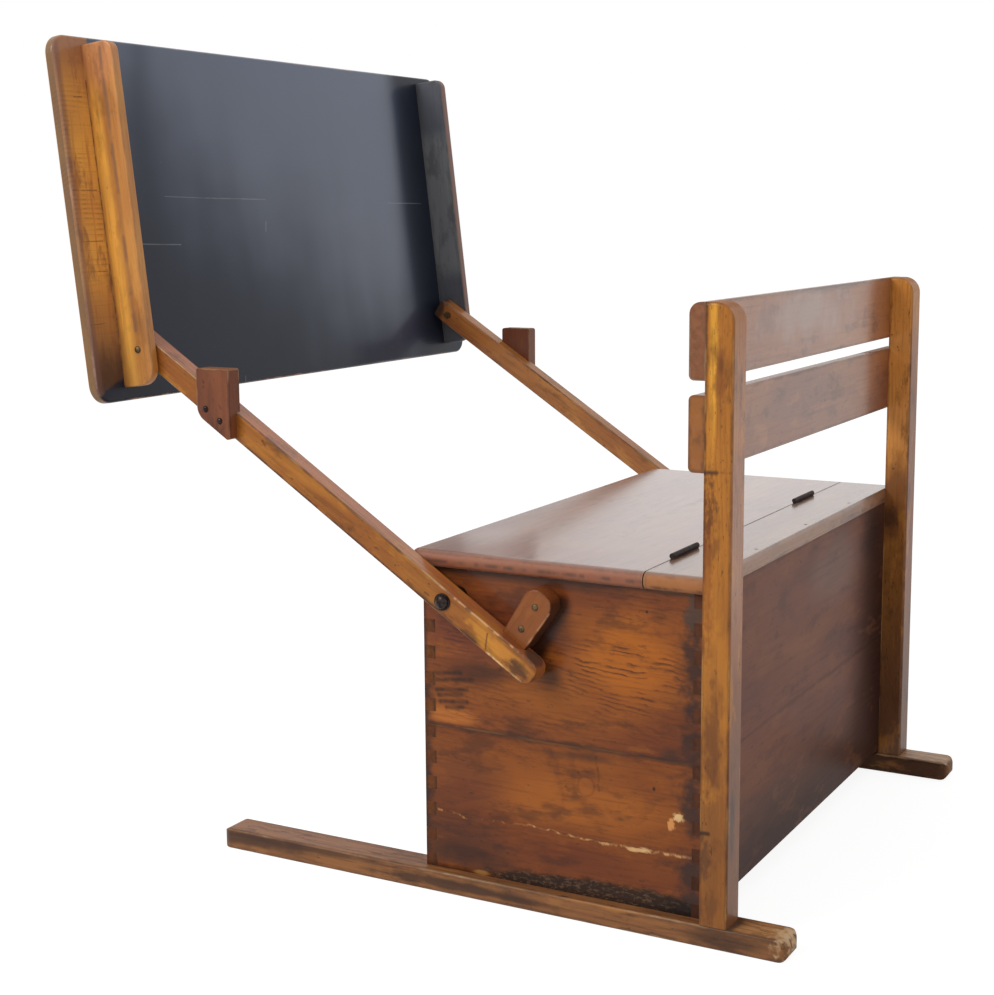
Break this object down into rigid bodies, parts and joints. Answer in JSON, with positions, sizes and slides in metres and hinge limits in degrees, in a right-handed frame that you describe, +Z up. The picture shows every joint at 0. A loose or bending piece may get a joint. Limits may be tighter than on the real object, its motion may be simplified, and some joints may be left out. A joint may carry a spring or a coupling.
{
  "type": "school desk with lift lid",
  "caption": "Child's wooden bench desk: a chest seat with a lift lid, a slatted back, and a tilting blackboard desktop carried on two swinging arms.",
  "frame": {"origin": "on the floor, under the middle of the whole desk as pictured, with the lid shut, the arms down on their stops and the desktop standing", "axes": "+Z up, +X towards the sitter's left, -Y the way the sitter faces"},
  "size_m": [0.756, 0.7795, 0.86],
  "materials": {
    "chest_wood": "old varnished pine boards, orange-brown, gloss",
    "seat_wood": "old varnished pine, worn glossy by sitting",
    "frame_wood": "varnished pine with worn light edges",
    "slat_wood": "varnished pine, dull brown at the back",
    "arm_wood": "varnished hardwood, golden orange",
    "cleat_wood": "varnished hardwood, scuffed",
    "bracket_wood": "reddish hardwood, gloss",
    "block_wood": "dark reddish-brown hardwood",
    "blackboard": "pine board with slate-blue blackboard paint on the sitter's side, satin",
    "hinge_steel": "old darkened steel",
    "bolt_steel": "old darkened steel, domed heads shine",
    "screw_steel": "old steel, dull"
  },
  "bodies": {
    "bench": {"runner_left": "frame_wood", "runner_right": "frame_wood", "post_left": "frame_wood", "post_right": "frame_wood", "back_slat_lower": "slat_wood", "back_slat_upper": "slat_wood", "chest_side_lower_left": "chest_wood", "chest_side_lower_right": "chest_wood", "chest_side_upper_left": "chest_wood", "chest_side_upper_right": "chest_wood", "chest_front_lower": "chest_wood", "chest_front_upper": "chest_wood", "chest_back_lower": "chest_wood", "chest_back_upper": "chest_wood", "chest_bottom": "chest_wood", "seat_plank": "seat_wood", "hinge_leaf_plank_left": "hinge_steel", "hinge_leaf_plank_right": "hinge_steel", "hinge_pin_left": "hinge_steel", "hinge_pin_right": "hinge_steel", "hinge_screws_plank": "screw_steel", "plank_nails": "screw_steel", "slat_screws": "screw_steel", "post_screws": "screw_steel", "runner_screws": "screw_steel", "arm_bolts": "bolt_steel", "arm_washers": "bolt_steel", "arm_spacers": "bolt_steel", "arm_nuts": "bolt_steel", "stop_bracket_left": "bracket_wood", "stop_bracket_right": "bracket_wood", "stop_bracket_screws": "screw_steel"},
    "lid": {"seat_lid": "seat_wood", "hinge_leaf_lid_left": "hinge_steel", "hinge_leaf_lid_right": "hinge_steel", "hinge_screws_lid": "screw_steel"},
    "arms": {"arm_left": "arm_wood", "arm_right": "arm_wood", "stop_block_left": "block_wood", "stop_block_right": "block_wood", "stop_block_screws": "screw_steel", "desktop_pivot_screws": "bolt_steel", "desktop_pivot_nuts": "bolt_steel"},
    "desktop": {"desktop_board_lower": "blackboard", "desktop_board_upper": "blackboard", "cleat_left": "cleat_wood", "cleat_right": "cleat_wood", "cleat_screws": "screw_steel"}
  },
  "joints": [
    {"name": "seat_lid_hinge", "type": "hinge", "parent": "bench", "child": "lid", "pos_m": [0, 0.243, 0.3528], "axis": [-1, 0, 0], "range_deg": [0, 100]},
    {"name": "arms_hinge", "type": "hinge", "parent": "bench", "child": "arms", "pos_m": [0, 0.042, 0.306], "axis": [-1, 0, 0], "range_deg": [0, 50]},
    {"name": "desktop_hinge", "type": "hinge", "parent": "arms", "child": "desktop", "pos_m": [0, -0.31604, 0.5394], "axis": [-1, 0, 0], "range_deg": [-58, 96.7]}
  ]
}
